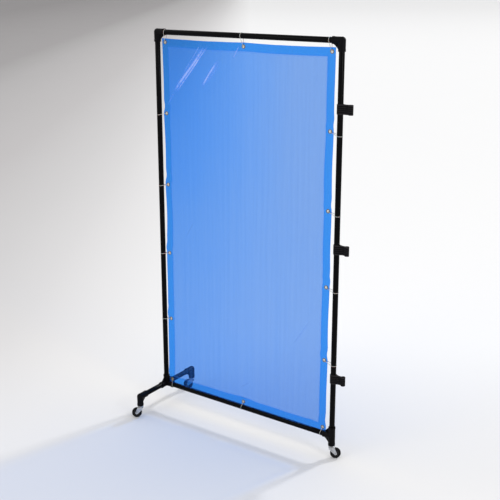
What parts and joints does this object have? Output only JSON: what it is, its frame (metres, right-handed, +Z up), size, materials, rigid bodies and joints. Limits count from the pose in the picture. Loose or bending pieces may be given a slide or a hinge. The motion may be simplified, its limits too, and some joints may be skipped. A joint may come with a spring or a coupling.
{
  "type": "welding curtain screen",
  "caption": "Free-standing black tube frame on swivel castors holding a translucent blue curtain tied through eyelets, with joining loops on one post.",
  "frame": {"origin": "on the floor, under the middle of the frame, in the plane of its tubes", "axes": "+Z up, +X from the two-legged foot on the left to the single castor and the joining loops on the right, -Y the front"},
  "size_m": [1.1014, 0.4623, 1.9282],
  "materials": {
    "tube_paint": "satin black powder coat",
    "fitting_plastic": "black moulded plastic, fine texture",
    "insert_plastic": "black moulded plastic",
    "zinc": "bright zinc plate",
    "tyre": "black rubber",
    "hub_plastic": "dark grey plastic",
    "pvc_sheet": "translucent blue PVC film",
    "brass": "pressed brass",
    "nylon": "natural nylon",
    "webbing": "black woven webbing"
  },
  "bodies": {
    "frame": {"left_post": "tube_paint", "right_post": "tube_paint", "top_rail": "tube_paint", "bottom_rail": "tube_paint", "front_leg": "tube_paint", "rear_leg": "tube_paint", "top_left_elbow": "fitting_plastic", "top_right_elbow": "fitting_plastic", "foot_fitting": "fitting_plastic", "bottom_right_tee": "fitting_plastic", "front_leg_elbow": "fitting_plastic", "rear_leg_elbow": "fitting_plastic", "front_castor_insert": "insert_plastic", "rear_castor_insert": "insert_plastic", "right_castor_insert": "insert_plastic", "curtain": "pvc_sheet", "grommet_left_1": "brass", "grommet_left_2": "brass", "grommet_left_3": "brass", "grommet_left_4": "brass", "grommet_left_5": "brass", "grommet_left_6": "brass", "grommet_right_1": "brass", "grommet_right_2": "brass", "grommet_right_3": "brass", "grommet_right_4": "brass", "grommet_right_5": "brass", "grommet_right_6": "brass", "grommet_bottom": "brass", "grommet_top": "brass", "tie_left_1": "nylon", "tie_left_2": "nylon", "tie_left_3": "nylon", "tie_left_4": "nylon", "tie_left_5": "nylon", "tie_left_6": "nylon", "tie_right_1": "nylon", "tie_right_2": "nylon", "tie_right_3": "nylon", "tie_right_4": "nylon", "tie_right_5": "nylon", "tie_right_6": "nylon", "tie_bottom": "nylon", "tie_top": "nylon"},
    "front_castor_swivel": {"front_castor_fork": "zinc", "front_castor_axle": "zinc"},
    "front_castor_wheel": {"front_castor_tyre": "tyre", "front_castor_hub": "hub_plastic"},
    "rear_castor_swivel": {"rear_castor_fork": "zinc", "rear_castor_axle": "zinc"},
    "rear_castor_wheel": {"rear_castor_tyre": "tyre", "rear_castor_hub": "hub_plastic"},
    "right_castor_swivel": {"right_castor_fork": "zinc", "right_castor_axle": "zinc"},
    "right_castor_wheel": {"right_castor_tyre": "tyre", "right_castor_hub": "hub_plastic"},
    "strap_lower": {"strap_lower": "webbing"},
    "strap_middle": {"strap_middle": "webbing"},
    "strap_upper": {"strap_upper": "webbing"}
  },
  "joints": [
    {"name": "front_castor_swivel_turn", "type": "hinge", "parent": "frame", "child": "front_castor_swivel", "pos_m": [-0.5, -0.207, 0.0624], "axis": [0, 0, 1], "continuous": true},
    {"name": "front_castor_wheel_roll", "type": "hinge", "parent": "front_castor_swivel", "child": "front_castor_wheel", "pos_m": [-0.51594, -0.21735, 0.025], "axis": [0.5446, -0.8387, 0], "continuous": true},
    {"name": "rear_castor_swivel_turn", "type": "hinge", "parent": "frame", "child": "rear_castor_swivel", "pos_m": [-0.5, 0.207, 0.0624], "axis": [0, 0, 1], "continuous": true},
    {"name": "rear_castor_wheel_roll", "type": "hinge", "parent": "rear_castor_swivel", "child": "rear_castor_wheel", "pos_m": [-0.51594, 0.19665, 0.025], "axis": [0.5446, -0.8387, 0], "continuous": true},
    {"name": "right_castor_swivel_turn", "type": "hinge", "parent": "frame", "child": "right_castor_swivel", "pos_m": [0.5, 0, 0.0624], "axis": [0, 0, 1], "continuous": true},
    {"name": "right_castor_wheel_roll", "type": "hinge", "parent": "right_castor_swivel", "child": "right_castor_wheel", "pos_m": [0.51594, 0.01035, 0.025], "axis": [-0.5446, 0.8387, 0], "continuous": true},
    {"name": "strap_lower_turn", "type": "hinge", "parent": "frame", "child": "strap_lower", "pos_m": [0.5, 0, 0.39947], "axis": [0, 0, 1], "range_deg": [-120, 120]},
    {"name": "strap_middle_turn", "type": "hinge", "parent": "frame", "child": "strap_middle", "pos_m": [0.5, 0, 1.01411], "axis": [0, 0, 1], "range_deg": [-120, 120]},
    {"name": "strap_upper_turn", "type": "hinge", "parent": "frame", "child": "strap_upper", "pos_m": [0.5, 0, 1.62874], "axis": [0, 0, 1], "range_deg": [-120, 120]}
  ]
}
